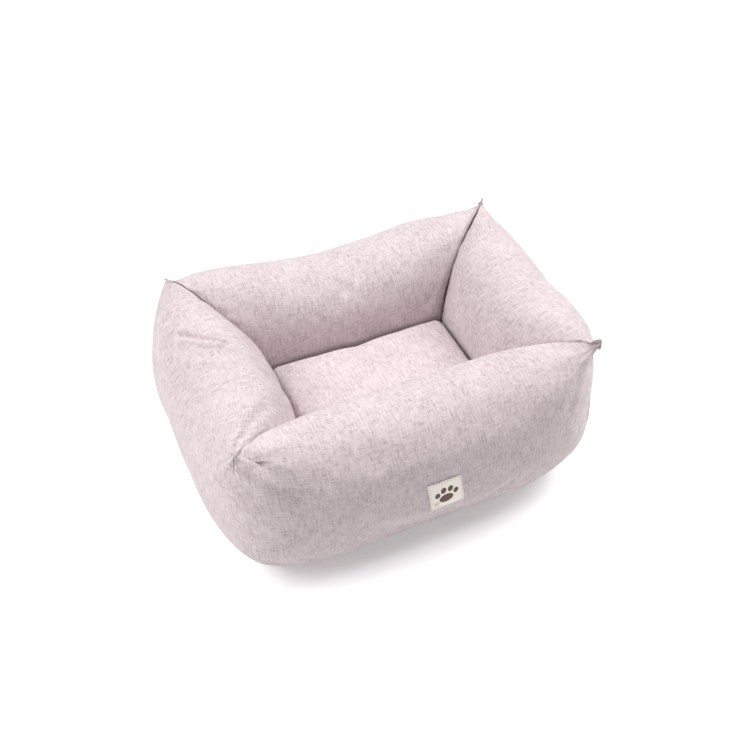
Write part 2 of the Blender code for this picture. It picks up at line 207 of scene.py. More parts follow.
def woven(name, light, middle, dark, pitch=0.0011, slub=1.0, roughness=0.92, relief=0.00035, laid=True):
    """A plain weave of melange yarn on the cloth's own coordinates, in metres.

    Yarn colour: stretched noise along both thread directions, coarse slubs over fine ones.
    Relief: the over-and-under of the threads, cosine times cosine, plus the slubs.
    A piece whose cloth has no coordinates of its own is woven along x and y.
    """
    f = Finish(name, roughness)
    cloth = f.node("UVMap", {"uv_map": "weave"}) if laid else f.node("TexCoord", None, None, 3)
    weft = f.noise(f.scaled(cloth, (62, 480, 1)), 1.0, 2.0, 0.55)
    warp = f.noise(f.scaled(cloth, (450, 52, 1), (3.1, 7.7, 0)), 1.0, 2.0, 0.55)
    fine_weft = f.noise(f.scaled(cloth, (120, 950, 1), (5.3, 1.9, 0)), 1.0, 1.0, 0.5)
    fine_warp = f.noise(f.scaled(cloth, (950, 120, 1), (8.1, 2.7, 0)), 1.0, 1.0, 0.5)
    cloud = f.noise(f.scaled(cloth, (22, 22, 1)), 1.0, 3.0, 0.55)
    streaks = weft * 0.22 + warp * 0.28 + fine_weft * 0.18 + fine_warp * 0.20 + cloud * 0.12
    share = (streaks - 0.5) * (4.3 * slub) + 0.5
    share = f.math("MINIMUM", f.math("MAXIMUM", share, 0.0), 1.0)
    f.set("Base Color", f.node("ValToRGB", {"stops": ((0.05, dark), (0.48, middle), (0.95, light))},
                               {"Fac": share}))

    split = f.node("SeparateXYZ", None, {0: cloth})
    across = Signal(f, split.socket.node.outputs[1])
    turn = math.pi / pitch
    over = f.math("COSINE", split * turn) * f.math("COSINE", across * turn)
    slubs = (weft + warp + fine_weft + fine_warp) * 0.25
    f.bump(over * 0.25 + slubs * 1.4, relief)
    f.shader.inputs["Sheen Weight"].default_value = 0.18
    f.shader.inputs["Sheen Roughness"].default_value = 0.55
    f.shader.inputs["Specular IOR Level"].default_value = 0.18
    return f.material


def wadding():
    f = Finish("white_wadding", 0.98)
    where = f.node("TexCoord", None, None, 3)
    fibres = f.noise(where, 90.0, 6.0, 0.7)
    f.set("Base Color", f.mix(fibres, linear(214, 212, 207), linear(245, 244, 240)))
    f.bump(fibres, 0.002)
    return f.material


def nonslip():
    """Pale grey cloth with rows of small rubber dots."""
    f = Finish("nonslip_underside", 0.85)
    cloth = f.node("UVMap", {"uv_map": "weave"})
    dots = f.node("TexVoronoi", None, {"Vector": f.scaled(cloth, (160, 160, 1)), "Scale": 1.0,
                                       "Randomness": 0.0})
    dot = f.math("LESS_THAN", dots, 0.28)
    yarn = f.noise(f.scaled(cloth, (900, 900, 1)), 1.0, 2.0)
    base = f.mix(yarn, linear(186, 182, 184), linear(206, 202, 204))
    f.set("Base Color", f.mix(dot, base, linear(232, 230, 231)))
    f.set("Roughness", 0.9 - dot * 0.35)
    f.bump(dot * 0.8 + yarn * 0.2, 0.0006)
    return f.material


def thread(name, colour, shade):
    f = Finish(name, 0.75)
    where = f.node("TexCoord", None, None, 3)
    twist = f.node("TexWave", {"bands_direction": "DIAGONAL"}, {"Vector": where, "Scale": 900.0,
                                                                "Distortion": 1.0})
    f.set("Base Color", f.mix(twist, shade, colour))
    f.bump(twist, 0.0002)
    return f.material


def metal():
    f = Finish("zip_metal", 0.34, 1.0)
    where = f.node("TexCoord", None, None, 3)
    wear = f.noise(f.scaled(where, (120, 900, 900)), 1.0, 3.0)
    f.set("Base Color", f.mix(wear, linear(176, 176, 178), linear(205, 205, 207)))
    f.set("Roughness", wear * 0.25 + 0.24)
    return f.material


def label_cloth():
    """Ivory woven label with a plain paw print: one pad and four toes, as ellipse masks."""
    f = Finish("ivory_label", 0.82)
    cloth = f.node("UVMap", {"uv_map": "weave"})
    yarn = f.noise(f.scaled(cloth, (500, 2600, 1)), 1.0, 2.0)
    base = f.mix(yarn, linear(246, 236, 226), linear(255, 249, 242))
    split = f.node("SeparateXYZ", None, {0: cloth})
    x = split
    y = Signal(f, split.socket.node.outputs[1])

    def ellipse(centre_x, centre_y, radius_x, radius_y):
        across, up = (x - centre_x) / radius_x, (y - centre_y) / radius_y
        return f.math("LESS_THAN", across * across + up * up, 1.0)

    paw = ellipse(0.0, -0.0068, 0.0094, 0.0074)
    for centre_x, centre_y, radius_x, radius_y in ((-0.0124, 0.0022, 0.0034, 0.0048),
                                                   (-0.0046, 0.0085, 0.0036, 0.0052),
                                                   (0.0046, 0.0085, 0.0036, 0.0052),
                                                   (0.0124, 0.0022, 0.0034, 0.0048)):
        paw = f.math("MAXIMUM", paw, ellipse(centre_x, centre_y, radius_x, radius_y))
    spot = ellipse(-0.0125, -0.0135, 0.0042, 0.0042)
    ink = f.mix(yarn, linear(84, 66, 58), linear(120, 98, 84))
    ochre = f.mix(yarn, linear(222, 200, 160), linear(236, 216, 180))
    f.set("Base Color", f.mix(paw, f.mix(spot, base, ochre), ink))
    f.bump(yarn + paw * 0.4, 0.0003)
    return f.material


LINEN = woven("mauve_linen", linear(218, 204, 207), linear(202, 188, 191), linear(171, 155, 159))
# the seam allowance is the walls' own linen; its darker colours here are painted shade of the deep mitre
# grooves
SHADED_SEAM_CLOTH = woven("seam_linen", linear(200, 184, 189), linear(176, 159, 164), linear(144, 125, 131))
LINING = woven("grey_lining", linear(205, 198, 201), linear(190, 182, 186), linear(165, 156, 161),
               0.0007, 0.4, 0.9, 0.00015)
TAPE = woven("zip_tape_cloth", linear(226, 210, 216), linear(208, 190, 197), linear(180, 160, 168),
             0.0006, 0.4, 0.9, 0.0002, laid=False)
WADDING = wadding()
NONSLIP = nonslip()
STITCH = thread("label_thread", linear(226, 216, 204), linear(196, 184, 170))
METAL = metal()
COIL = thread("zip_coil", linear(214, 198, 204), linear(186, 168, 175))
LABEL = label_cloth()


# ---- meshes from grids -----------------------------------------------------------------
def add_piece(name, mesh, material):
    obj = bpy.data.objects.new(name, mesh)
    bpy.context.scene.collection.objects.link(obj)
    mesh.materials.clear()
    mesh.materials.append(material)
    mesh.shade_smooth()
    return obj


def quads_of(rows, columns, closed):
    """Corner indices of the quads on a grid of rows by columns."""
    r, c = np.meshgrid(np.arange(rows - 1), np.arange(columns if closed else columns - 1), indexing="ij")
    after = (c + 1) % columns
    return np.stack([r * columns + c, (r + 1) * columns + c, (r + 1) * columns + after,
                     r * columns + after], -1).reshape(-1, 4), r, c


def new_mesh(name, verts, faces, uv):
    """A mesh from points, faces and one cloth coordinate per face corner, facing outwards."""
    mesh = bpy.data.meshes.new(name)
    mesh.from_pydata(verts.tolist(), [], faces)
    layer = mesh.uv_layers.new(name="weave")
    layer.data.foreach_set("uv", uv.astype(np.float32).ravel())
    bm = bmesh.new()
    bm.from_mesh(mesh)
    bmesh.ops.remove_doubles(bm, verts=bm.verts, dist=1e-7)
    if bm.calc_volume(signed=True) < 0:
        bmesh.ops.reverse_faces(bm, faces=bm.faces)
    bm.to_mesh(mesh)
    bm.free()
    return mesh


def tube(name, points, cloth, caps=True):
    """A tube on a grid of points, one row per section, each row closing on itself.

    cloth holds the flat cloth's coordinates, with one more column than points has, so that
    the pattern doesn't run back over itself at the join. Caps are fans around each end.
    """
    rows, columns = points.shape[:2]
    quads, r, c = quads_of(rows, columns, True)
    uv = np.stack([cloth[r, c], cloth[r + 1, c], cloth[r + 1, c + 1], cloth[r, c + 1]], 2).reshape(-1, 2)
    verts, faces = points.reshape(-1, 3), quads.tolist()
    if caps:
        ring = np.arange(columns)
        after = (ring + 1) % columns
        last = (rows - 1) * columns
        verts = np.vstack([verts, points[0].mean(0), points[-1].mean(0)])
        centre = rows * columns
        faces += np.stack([0 * ring + centre, ring, after], 1).tolist()
        faces += np.stack([0 * ring + centre + 1, last + after, last + ring], 1).tolist()
        uv = np.vstack([uv, np.zeros((6 * columns, 2))])
    return new_mesh(name, verts, faces, uv)


def envelope(name, upper, lower, cloth):
    """Two grids of points with the same outline, sewn together around it."""
    rows, columns = upper.shape[:2]
    quads, r, c = quads_of(rows, columns, False)
    uv = np.stack([cloth[r, c], cloth[r + 1, c], cloth[r + 1, c + 1], cloth[r, c + 1]], 2).reshape(-1, 4, 2)
    verts = np.vstack([upper.reshape(-1, 3), lower.reshape(-1, 3)])
    faces = quads.tolist() + (quads[:, ::-1] + rows * columns).tolist()
    return new_mesh(name, verts, faces, np.concatenate([uv, uv[:, ::-1]]).reshape(-1, 2))


def keep_sharp(mesh, chosen):
    """Keep the edges whose two ends are both chosen vertices crisp."""
    ends = np.empty(len(mesh.edges) * 2, np.int32)
    mesh.edges.foreach_get("vertices", ends)
    both = chosen[ends.reshape(-1, 2)].all(1)
    mesh.attributes.new("crease_edge", "FLOAT", "EDGE").data.foreach_set("value", both.astype(np.float32))
    mesh.attributes.new("sharp_edge", "BOOLEAN", "EDGE").data.foreach_set("value", both)


def read_points(mesh):
    points = np.empty(len(mesh.vertices) * 3, np.float32)
    mesh.vertices.foreach_get("co", points)
    return points.reshape(-1, 3).astype(float)


def write_points(mesh, points):
    mesh.vertices.foreach_set("co", points.astype(np.float32).ravel())
    mesh.update()


def subdivide(obj, levels=1):
    modifier = obj.modifiers.new("smooth", "SUBSURF")
    modifier.levels = levels
    modifier.render_levels = levels


def inflate(obj, hold, pressure, excess, cap, frames=20, stiffness=12.0):
    """Fill a sewn shell with air: cloth under pressure, held where hold is 1.

    excess is how much longer the cloth is than the span it covers, which is what puckers
    it along its seams, and no point ends more than about cap from where it started.
    """
    mesh = obj.data
    start = read_points(mesh)
    group = obj.vertex_groups.new(name="hold")
    for level in np.unique(np.round(hold, 2)):
        members = np.nonzero(np.abs(np.round(hold, 2) - level) < 1e-6)[0]
        group.add(members.tolist(), float(level), "REPLACE")
    modifier = obj.modifiers.new("air", "CLOTH")
    cloth = modifier.settings
    cloth.quality = 6
    cloth.mass = 0.25
    cloth.tension_stiffness = stiffness
    cloth.compression_stiffness = stiffness
    cloth.shear_stiffness = stiffness * 0.5
    cloth.bending_stiffness = 0.6
    cloth.air_damping = 3.0
    cloth.use_pressure = True
    cloth.uniform_pressure_force = pressure
    cloth.shrink_min = -excess
    cloth.effector_weights.gravity = 0.0
    cloth.vertex_group_mass = "hold"
    cloth.pin_stiffness = 1.0
    modifier.collision_settings.use_collision = False
    scene = bpy.context.scene
    for step in range(1, frames + 1):
        scene.frame_set(step)
    settled = obj.evaluated_get(bpy.context.evaluated_depsgraph_get()).to_mesh()
    end = read_points(settled)
    obj.evaluated_get(bpy.context.evaluated_depsgraph_get()).to_mesh_clear()
    obj.modifiers.remove(modifier)
    obj.vertex_groups.remove(group)
    scene.frame_set(1)
    moved = end - start
    far = np.linalg.norm(moved, axis=1, keepdims=True)
    write_points(mesh, start + moved / np.maximum(far, 1e-9) * cap * np.tanh(far / cap))


# ---- folds -----------------------------------------------------------------------------
# each fold: its wall, the corner it is counted from, how far it stands out and how wide it is,
# then where it starts and ends, as the distance from the corner along the wall and the turn
# around its section, 0 at the outer belly, 1 at the crown and 2 at the inner belly
FOLDS = (
    # puckers that fan out down the front from its left tip
    ("front", "front_left", 0.004, 0.005, (0.005, 0.85), (0.035, 0.50)),
    ("front", "front_left", -0.005, 0.007, (0.005, 0.95), (0.035, 0.65)),
    ("front", "front_left", 0.002, 0.012, (0.015, 1.00), (0.045, 0.85)),
    ("front", "front_left", 0.003, 0.010, (0.010, 0.55), (0.100, 0.35)),
    # the hollow behind that tip, and the rim around it
    ("left", "front_left", -0.007, 0.006, (0.005, 1.00), (0.020, 1.05)),
    ("left", "front_left", 0.004, 0.004, (0.010, 0.90), (0.025, 1.10)),
    ("left", "front_left", -0.003, 0.008, (0.020, 1.10), (0.045, 1.35)),
    # a crease pressed across the left wall, with a ridge in front of it
    ("left", "back_left", -0.006, 0.004, (0.100, 0.75), (0.125, 1.25)),
    ("left", "back_left", 0.004, 0.006, (0.110, 0.75), (0.135, 1.25)),
    # puckers along the crown at the back right tip
    ("back", "back_right", -0.002, 0.004, (0.005, 1.10), (0.035, 1.05)),
    ("back", "back_right", -0.002, 0.004, (0.005, 0.90), (0.035, 0.95)),
)
# at each end of each wall the slack cloth falls in one shallow fold down the outer face
SLACK_FOLD = (-0.0025, 0.009, (0.015, 0.75), (0.075, 0.35))
FOLD_STEPS = 7


def fold_line(side, corner, start, end):
    """The wall's own surface along a straight run of distance and turn."""
    half, _, low_corner, _, quarter_turns = WALLS[side]
    share = np.linspace(0, 1, FOLD_STEPS)
    distance, turn = mix(start[0], end[0], share), mix(start[1], end[1], share)
    station = (1 - distance / half) * (-1 if corner == low_corner else 1)
    all_turns = wall_turns()
    sections = wall_surface(side, station, all_turns)[1:-1]
    line = [[np.interp(t, all_turns, row[:, axis]) for axis in range(3)]
            for t, row in zip(turn, sections)]
    return settle(place(np.array(line), quarter_turns))


def folds_on(side):
    """Height, width and line of every fold on a wall."""
    folds = [fold[1:] for fold in FOLDS if fold[0] == side]
    folds += [(corner,) + SLACK_FOLD for corner in WALLS[side][2:4]]
    return [(height, width, fold_line(side, corner, start, end))
            for corner, height, width, start, end in folds]


def distance_to_line(points, normals, line):
    """Distance along the surface from each point to the nearest place on a broken line."""
    nearest = np.full(len(points), 1e9)
    for start, end in zip(line[:-1], line[1:]):
        along = end - start
        share = ((points - start) @ along / (along @ along)).clip(0, 1)
        away = points - start - share[:, None] * along
        depth = (away * normals).sum(1)
        flat = np.sqrt(np.maximum((away ** 2).sum(1) - depth ** 2, 0))
        nearest = np.minimum(nearest, np.where(np.abs(depth) < 0.02, flat, 1e9))
    return nearest


def read_normals(mesh):
    normals = np.empty(len(mesh.vertices) * 3, np.float32)
    mesh.vertex_normals.foreach_get("vector", normals)
    return normals.reshape(-1, 3).astype(float)


def add_folds(mesh, side):
    """Move the cloth along its normals: a bell across each fold's line, and slow swells."""
    points, normals = read_points(mesh), read_normals(mesh)
    lift = np.zeros(len(points))
    for height, width, line in folds_on(side):
        lift += height * bell(distance_to_line(points, normals, line), 0.0, width)
    from_mitre = np.empty(len(points), np.float32)
    mesh.attributes["from_mitre"].data.foreach_get("value", from_mitre)
    lift *= smooth(from_mitre, 0.0, 0.004)
    x, y, z = points.T
    swell = (np.sin(x * 61 + y * 23 + 1.3) + np.sin(y * 57 - z * 45 + 0.4) + np.sin(z * 66 + x * 31 + 2.2))
    lift += 0.0005 * swell * smooth(z, 0.02, 0.08) * smooth(np.hypot(x, y), 0.12, 0.17)
    write_points(mesh, points + normals * lift[:, None])


def bake(obj):
    """Make the modifiers' result the mesh."""
    settled = obj.evaluated_get(bpy.context.evaluated_depsgraph_get())
    mesh = bpy.data.meshes.new_from_object(settled, preserve_all_data_layers=True,
                                           depsgraph=bpy.context.evaluated_depsgraph_get())
    mesh.name = obj.data.name + "_cloth"
    obj.modifiers.clear()
    obj.data = mesh


# ---- the walls -------------------------------------------------------------------------
# each wall: half its length, half the bed across it, the corner at its low and high end,
# and the rotation from the front wall's place, in quarter turns
WALLS = {
    "front": (TIP_X, TIP_Y, "front_left", "front_right", 0),
    "right": (TIP_Y, TIP_X, "front_right", "back_right", 1),
    "back": (TIP_X, TIP_Y, "back_right", "back_left", 2),
    "left": (TIP_Y, TIP_X, "back_left", "front_left", 3),
}
# how the filling lies in each wall, along it from -1 to 1: extra height of the crown
CROWN_RISE = {
    "front": lambda s: 0.001 + 0.003 * bell(s, 0.45, 0.4),
    "right": lambda s: 0.005 + 0.002 * bell(s, 0.2, 0.6),
    "back": lambda s: 0.005 + 0.004 * bell(s, 0.62, 0.3) - 0.007 * bell(s, 0.05, 0.30),
    "left": lambda s: 0.001 + 0.003 * bell(s, 0.2, 0.5),
}
# how far the crown stands outwards of its usual place, which squares the outer shoulder
CROWN_OUT = {"front": 0.0, "right": 0.009, "back": 0.004, "left": 0.0}
# how square the inner shoulder is, and the phase of the inner face's waves
INNER_POWER = {"front": 2.0, "right": 2.3, "back": 2.4, "left": 2.4}
WAVE_PHASE = {"front": 0.4, "right": 2.1, "back": 1.2, "left": 3.0}


def place(points, quarter_turns):
    """Turn the front wall's axes to a wall's own place."""
    x, y, z = points[..., 0], points[..., 1], points[..., 2]
    turned = ((x, y), (-y, x), (-x, -y), (y, -x))[quarter_turns]
    return np.stack([turned[0], turned[1], z], -1)


def section(turn, outer, crown, inner, foot, powers):
    """A closed section from four superellipse quarters, as inset and height.

    turn runs 0 at the outer belly, 1 at the crown, 2 at the inner belly, 3 at the foot, and
    each quarter is (1 - cos, sin) stretched from its side point to its top or bottom point.
    """
    quarter = np.clip(np.floor(turn), 0, 3).astype(int)
    share = turn - quarter
    share = np.where((quarter == 1) | (quarter == 3), 1 - share, share)
    angle = share * math.pi / 2
    power = np.choose(quarter, powers)
    reach = (np.cos(angle).clip(0) ** power + np.sin(angle).clip(0) ** power) ** (-1 / power)
    along, up = np.cos(angle) * reach, np.sin(angle) * reach
    at_outer = (quarter == 0) | (quarter == 3)
    at_crown = quarter < 2
    side = [np.where(at_outer, a, b) for a, b in zip(outer, inner)]
    top = [np.where(at_crown, a, b) for a, b in zip(crown, foot)]
    return mix(side[0], top[0], 1 - along), mix(side[1], top[1], up)


def wall_stations(half):
    """Positions along a wall, -1 to 1, closer together towards the mitres."""
    near = [0.0, 0.0004, 0.0010, 0.0018, 0.0030, 0.0046, 0.0066, 0.0092, 0.0124, 0.0162, 0.0204]
    rest = np.linspace(0.0246, half, int((half - 0.0246) / 0.0044))
    share = 1 - np.concatenate([near, rest]) / half
    return np.concatenate([-share, share[::-1][1:]])


def wall_turns():
    """Steps around a section, closer together over the crown, where the folds are."""
    return np.concatenate([np.linspace(0.0, 2.0, 81)[:-1], np.linspace(2.0, 3.0, 19)[:-1],
                           np.linspace(3.0, 4.0, 29)[:-1]])


def inward(inset, height):
    """The unit normal into the wall's section, from neighbouring points around it."""
    slope_u = np.roll(inset, -1, -1) - np.roll(inset, 1, -1)
    slope_z = np.roll(height, -1, -1) - np.roll(height, 1, -1)
    length = np.maximum(np.hypot(slope_u, slope_z), 1e-9)
    return slope_z / length, -slope_u / length


def groove_depth(turn, opens):
    """How deep the cloth rolls in at a mitre: nothing outside its opening, near the tip."""
    opened = 0.3 * smooth(turn - opens, -0.04, 0.0) + 0.7 * smooth(turn - opens, 0.0, 0.12)
    return GROOVE_DEPTH * opened * (1 - smooth(turn, 2.9, 3.2))


def corner_round(turn, distance):
    """Extra inset that rounds a corner off beneath its tip, to nothing at the tip itself.

    Each face then leaves the mitre a half across per length, so the two meet without an edge.
    """
    angle = np.clip(np.where(turn < 1, turn, 4 - turn), 0, 1) * math.pi / 2
    power = OUTER_POWER
    reach = (np.cos(angle) ** power + np.sin(angle) ** power) ** (-1 / power)
    flat = 1 - np.cos(angle) * reach
    upper = np.minimum(TIP_ROUND, 1.4 * (TIP_Z - OUTER_BELLY_Z) * (1 - np.sin(angle) * reach).clip(0))
    lower = FOOT_ROUND * smooth(turn, 2.4, 3.0)
    reach = np.where(turn < 1, upper, lower)
    slope = np.where(turn < 1, 0.5 + TIP_SLOPE, 0.5) * flat
    left = np.clip(1 - distance / np.maximum(reach, 1e-6), 0, 1)
    return reach * slope / 2 * left ** 2


def wall_surface(side, station, turn):
    """Points of a wall on the grid of stations by turns, in the front wall's axes.

    The outer face falls from its bulge to each corner's inset on a power of the distance
    whose slope at the mitre is a half, so that two walls' faces meet there without an edge.
    """
    half, across, low_corner, high_corner, _ = WALLS[side]
    s, t = np.meshgrid(station, turn, indexing="ij")
    distance = (1 - np.abs(s)) * half

    def at_corner(values):
        return np.where(s < 0, values[low_corner], values[high_corner])

    corner_inset = at_corner({c: r[0] for c, r in CORNER_ROUND.items()})
    reach = at_corner({c: r[1] for c, r in CORNER_ROUND.items()})
    round_off = np.clip(1 - distance / reach, 0, 1) ** (0.5 * reach / (corner_inset + BULGE - SWELL))
    crown_inset = 0.022 - CROWN_OUT[side]
    left = np.clip(1 - distance / CROWN_REACH, 0, 1)
    pull = left ** (TIP_SLOPE * CROWN_REACH / crown_inset)
    climb = left ** 1.1
    near = smooth(1 - distance / 0.085)
    wave = WAVE_HEIGHT * (np.sin(s * half * 52 + WAVE_PHASE[side]) * smooth(distance, 0.0, 0.10) - 1)
    outer = (mix(SWELL - BULGE, corner_inset, round_off), OUTER_BELLY_Z + 0 * s)
    crown = (mix(crown_inset, 0.0, pull), mix(RIDGE_Z + CROWN_RISE[side](s), TIP_Z - 0.002, climb))
    inner = (INSET + wave, INNER_BELLY_Z + 0 * s)
    foot = (FOOT_INSET + 0 * s, FLOOR_Z + 0 * s)
    powers = [OUTER_POWER + 0 * s, mix(INNER_POWER[side], 1.6, near), 3.6 + 0 * s, 1.9 + 0 * s]
    inset, height = section(t, outer, crown, inner, foot, powers)
    inset = inset + corner_round(t, distance)

    # roll the cloth in along the mitres, on a quarter of an ellipse down to the seam
    normal_u, normal_z = inward(inset, height)
    to_seam = (half - inset - np.abs(s) * (half - inset)) * math.sqrt(0.5)
    reach = GROOVE_REACH * (0.25 + 0.75 * smooth(t, 1.0, 1.15))
    share = np.clip(1 - to_seam / reach, 0, 1)
    roll = groove_depth(t, at_corner(SEAM_OPENS)) * (1 - np.sqrt(1 - share ** 2))
    inset, height = inset + normal_u * roll, height + normal_z * roll
    along = s * (half - inset - MITRE_GAP * math.sqrt(2))
    points = np.stack([along, inset - across, height], -1)

    # the turned-in edge at both ends, drawn back from the mitre to leave room for the seam
    lips = []
    for row in (0, -1):
        lip = points[row] + LIP_DEPTH * np.stack([0 * turn, normal_u[row], normal_z[row]], -1)
        lip[:, 0] -= np.sign(station[row]) * (0.0012 + LIP_DEPTH * normal_u[row])
        lips.append(lip[None])
    return np.concatenate([lips[0], points, lips[1]])


def settle(points):
    """Push each corner's tip to where the filling holds it, fading out around it."""
    moved = points.copy()
    for corner, (x, y) in CORNER_PLACE.items():
        near = np.exp(-((points[..., 0] - x) ** 2 + (points[..., 1] - y) ** 2) / 0.075 ** 2)
        high = smooth(points[..., 2], 0.09, 0.22)
        moved += (near * high)[..., None] * TIP_SHIFT[corner]
    return moved


def around(points):
    """Path length around the rows of a closed grid, taken on the middle row."""
    middle = points[len(points) // 2]
    steps = np.linalg.norm(np.diff(middle, axis=0, append=middle[:1]), axis=1)
    return np.concatenate([[0], np.cumsum(steps)])


def make_wall(side):
    half, across, _, _, turns = WALLS[side]
    station, turn = wall_stations(half), wall_turns()
    points = wall_surface(side, station, turn)
    rows, columns = points.shape[:2]
    length = around(points)
    grain = np.concatenate([points[..., 0], points[:, :1, 0]], 1)
    cloth = np.stack(np.broadcast_arrays(grain, length[None, :]), -1)
    mesh = tube(side + "_wall", points, cloth)
    row = np.repeat(np.arange(rows), columns)
    end = np.minimum(row, rows - 1 - row)
    chosen = np.concatenate([end == 1, [False, False]])
    keep_sharp(mesh, chosen)
    from_mitre = np.pad((1 - np.abs(station)) * half, 1)[row]
    attribute = mesh.attributes.new("from_mitre", "FLOAT", "POINT")
    attribute.data.foreach_set("value", np.append(from_mitre, [0, 0]))
    obj = add_piece(side + "_wall", mesh, LINEN)

    grid_turn = np.tile(turn, rows)
    height = points[..., 2].ravel()
    hidden = (grid_turn > 2.0) & (height < DECK_Z)
    held = (end <= 2) | hidden | (height < FLOOR_Z + 0.0015)
    inflate(obj, np.concatenate([held.astype(float), [1.0, 1.0]]), 1.8, 0.012, 0.0050)

    # flat where the wall rests on the floor and where it presses on the cushion
    shaped = read_points(mesh)
    shaped[:, 2] = np.maximum(shaped[:, 2], FLOOR_Z)
    limit = INSET - across + 0.9 * np.maximum(shaped[:, 2] - EDGE_SEAM_Z - 0.045, 0)
    shaped[:, 1] = np.minimum(shaped[:, 1], limit)
    write_points(mesh, settle(place(shaped, turns)))
    subdivide(obj)
    bake(obj)
    add_folds(obj.data, side)
    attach(obj, "bed")
    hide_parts(side + "_wall_cover", side + "_wall_fill")
    return obj


# ---- the mitre seams -------------------------------------------------------------------
# each corner's ear, the seam's tail of doubled cloth: how far it stands outwards and upwards
EARS = {"front_left": (-0.0010, 0.0), "front_right": (-0.0010, 0.0),
        "back_right": (0.0020, 0.0044), "back_left": (0.0078, 0.0046)}


def make_corner_seam(corner):
    """The turned-in allowance of a mitre: a flat ribbon around its section, with an ear, both coloured darker
    than the walls' linen as painted shade of the groove.
    """
    turn = np.linspace(0.0, 4.0, 241)[:-1]
    one = np.ones_like(turn)
    outer = (CORNER_ROUND[corner][0] * one, OUTER_BELLY_Z * one)
    crown = (0.0 * one, (TIP_Z - 0.002) * one)
    inner = ((INSET - WAVE_HEIGHT) * one, INNER_BELLY_Z * one)
    foot = (FOOT_INSET * one, FLOOR_Z * one)
    powers = [OUTER_POWER * one, 1.6 * one, 3.6 * one, 1.9 * one]
    inset, height = section(turn, outer, crown, inner, foot, powers)
    inset = inset + corner_round(turn, 0 * turn)
    normal = np.stack(inward(inset, height), -1)
    middle = np.stack([inset, height], -1)
    ear = bell(turn, 1.0, 0.022)
    out, up = EARS[corner]
    sink = groove_depth(turn, SEAM_OPENS[corner]) + 0.0018
    outer_edge = middle + normal * sink[:, None] + ear[:, None] * np.array([-out, up])
    inner_edge = middle + normal * (sink + 0.006 + 0.001 * ear)[:, None]
    thick = 0.0005 + 0.0004 * ear
    edges = ((outer_edge, -1), (outer_edge, 1), (inner_edge, 1), (inner_edge, -1))
    ring = np.stack([np.stack([edge[:, 0] * math.sqrt(2), face * thick, edge[:, 1]], -1)
                     for edge, face in edges], 1)
    x, y = CORNER_PLACE[corner]
    angle = math.radians(45 + 90 * CORNER_NAMES.index(corner))
    turned = np.stack([ring[..., 0] * math.cos(angle) - ring[..., 1] * math.sin(angle) + x,
                       ring[..., 0] * math.sin(angle) + ring[..., 1] * math.cos(angle) + y,
                       ring[..., 2]], -1)
    closed = np.concatenate([turned, turned[:1]])
    steps = np.concatenate([[0], np.cumsum(np.linalg.norm(np.diff(closed[:, 0], axis=0), axis=1))])
    cloth = np.stack(np.broadcast_arrays(steps[:, None], np.array([0, 0.001, 0.009, 0.010, 0.018])), -1)
    mesh = tube(corner + "_seam", settle(closed), cloth, caps=False)
    # painted shade: the ribbon and its ear wear the darker copy of the linen
    obj = add_piece(corner + "_seam", mesh, SHADED_SEAM_CLOTH)
    subdivide(obj)
    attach(obj, "bed")
    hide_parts(corner + "_corner_seam")
    return obj


# ---- flat and padded pieces on rounded rectangles --------------------------------------
def lines_across(half, extra=()):
    """Grid lines from -half to half: crowded at the edges, 5 mm apart between, extra ones added."""
    near = np.array([0.0, 0.0003, 0.0010, 0.0022, 0.0040, 0.0063, 0.0092, 0.0126, 0.0166])
    inner = half - 0.0210
    middle = np.linspace(-inner, inner, int(2 * inner / 0.005) | 1)
    if len(extra):
        extra = np.array(extra)
        middle = middle[np.abs(middle[:, None] - extra).min(1) > 0.0016]
    return np.unique(np.concatenate([near - half, middle, extra, half - near]))


def on_plate(half_x, half_y, radius, x_lines, y_lines):
    """Points of a grid bent to a rounded rectangle, and their distance in from its edge.

    Every ring of the square grid becomes the same rounded rectangle, smaller: a point in
    the square corner of its ring moves onto the quarter circle there.
    """
    x, y = np.meshgrid(x_lines, y_lines, indexing="ij")
    ring = np.maximum(np.abs(x) / half_x, np.abs(y) / half_y)
    r = np.maximum(ring * radius, 1e-9)
    over_x = np.clip(np.abs(x) - ring * (half_x - radius), 0, None)
    over_y = np.clip(np.abs(y) - ring * (half_y - radius), 0, None)
    both = (over_x > 0) & (over_y > 0)
    scale = np.where(both, r / np.maximum(np.hypot(over_x, over_y), 1e-9)
                     * np.maximum(over_x, over_y) / r, 1.0)
    x = np.where(both, np.sign(x) * (ring * (half_x - radius) + over_x * scale), x)
    y = np.where(both, np.sign(y) * (ring * (half_y - radius) + over_y * scale), y)
    qx, qy = np.abs(x) - (half_x - radius), np.abs(y) - (half_y - radius)
    inside = radius - np.hypot(qx.clip(0), qy.clip(0)) - np.minimum(np.maximum(qx, qy), 0)
    return x, y, inside.clip(0)


def dome(inside, width, rise, power):
    """Height on a superellipse quarter that is full at width in from the edge."""
    share = np.clip(inside / width, 0, 1)
    return rise * (1 - (1 - share) ** power) ** (1 / power)


def make_plate(name, half_x, half_y, radius, low, high, material, width):
    """A flat closed piece with rounded edges between two heights."""
    x, y, inside = on_plate(half_x, half_y, radius, lines_across(half_x), lines_across(half_y))
    middle, thick = (low + high) / 2, (high - low) / 2
    lift = dome(inside, width, thick, 2.2)
    mesh = envelope(name, np.stack([x, y, middle + lift], -1), np.stack([x, y, middle - lift], -1),
                    np.stack([x, y], -1))
    return add_piece(name, mesh, material)


